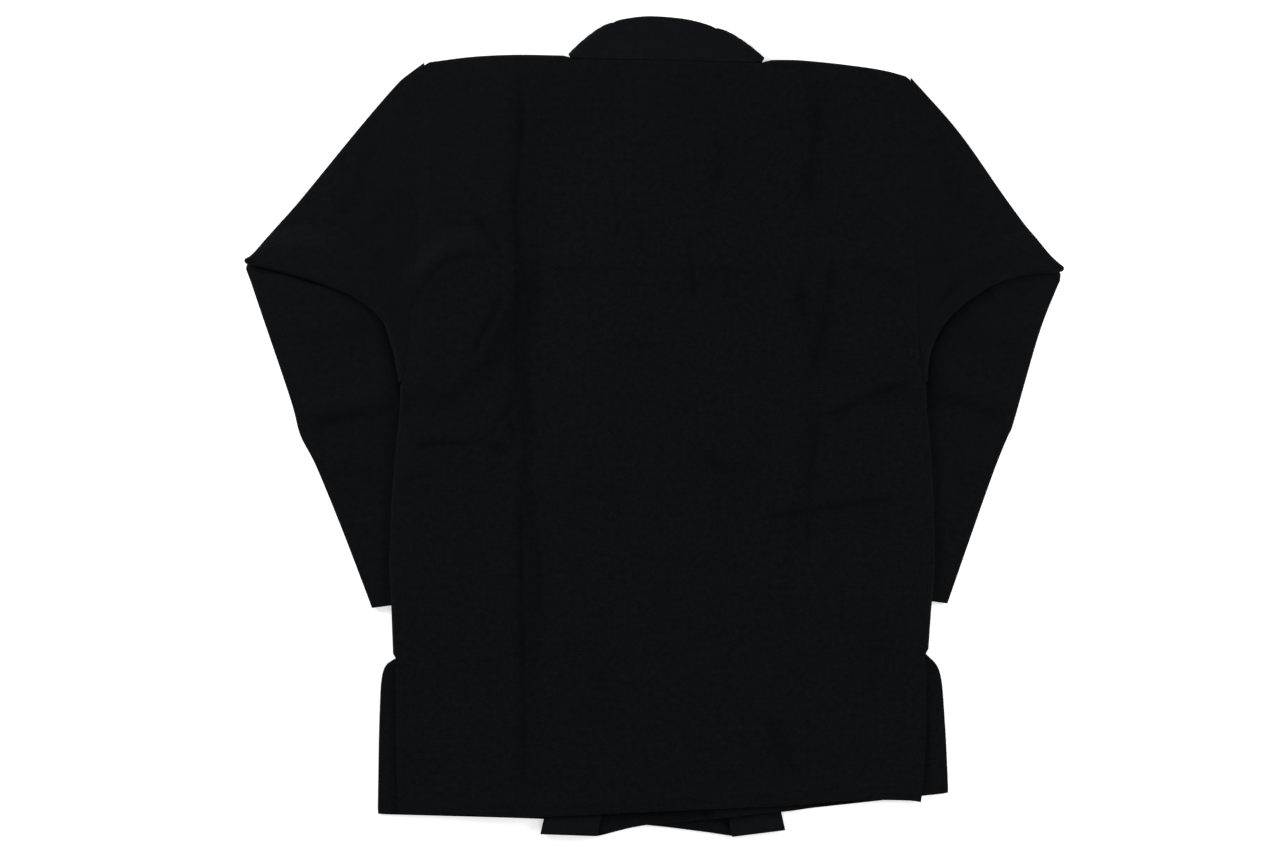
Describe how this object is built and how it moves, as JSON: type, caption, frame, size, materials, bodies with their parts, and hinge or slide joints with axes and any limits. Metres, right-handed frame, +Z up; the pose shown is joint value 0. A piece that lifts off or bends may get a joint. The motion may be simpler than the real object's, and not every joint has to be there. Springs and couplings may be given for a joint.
{
  "type": "jiu-jitsu gi jacket",
  "caption": "Black jiu-jitsu gi jacket lying flat on its front, back up, sleeves pleated at the elbow and turned under the body.",
  "frame": {"origin": "on the table under the middle of the jacket's outline seen from above", "axes": "+Z up from the table, +Y towards the collar, +X towards the wearer's right sleeve"},
  "size_m": [0.8593, 0.8616, 0.0161],
  "materials": {
    "pearl_weave": "matte black pearl-weave cotton",
    "collar_cotton": "matte black ribbed cotton over a stuffed band"
  },
  "bodies": {
    "root": {"back_panel": "pearl_weave", "front_left": "pearl_weave", "front_right": "pearl_weave", "sleeve_left": "pearl_weave", "sleeve_right": "pearl_weave", "collar_band": "collar_cotton"}
  },
  "joints": []
}
